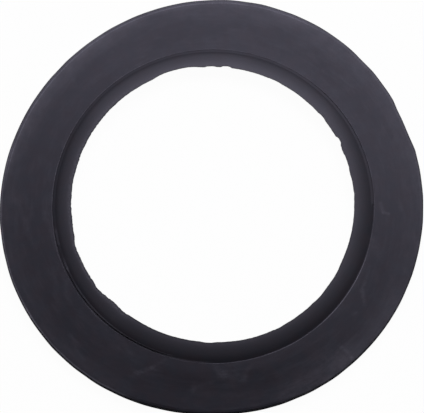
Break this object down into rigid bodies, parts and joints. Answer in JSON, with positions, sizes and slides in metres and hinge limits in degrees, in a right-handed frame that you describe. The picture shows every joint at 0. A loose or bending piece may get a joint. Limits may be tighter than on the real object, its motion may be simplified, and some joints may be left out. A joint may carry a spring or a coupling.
{
  "type": "flush valve seal",
  "caption": "Flat round rubber flush valve seal with a broad flange, a shallow groove and a thin raised lip at its torn bore.",
  "frame": {"origin": "centre of the ring, on the plane that its flat underside rests on", "axes": "+Z along the bore axis, from the flat underside towards the raised lip; +X is the right of the picture and +Y its top"},
  "size_m": [0.0778, 0.0779, 0.0034],
  "materials": {
    "black_rubber": "matt moulded black rubber with a faint violet cast, pale scuffs and a little bloom"
  },
  "bodies": {
    "root": {"sealing_ring": "black_rubber"}
  },
  "joints": []
}
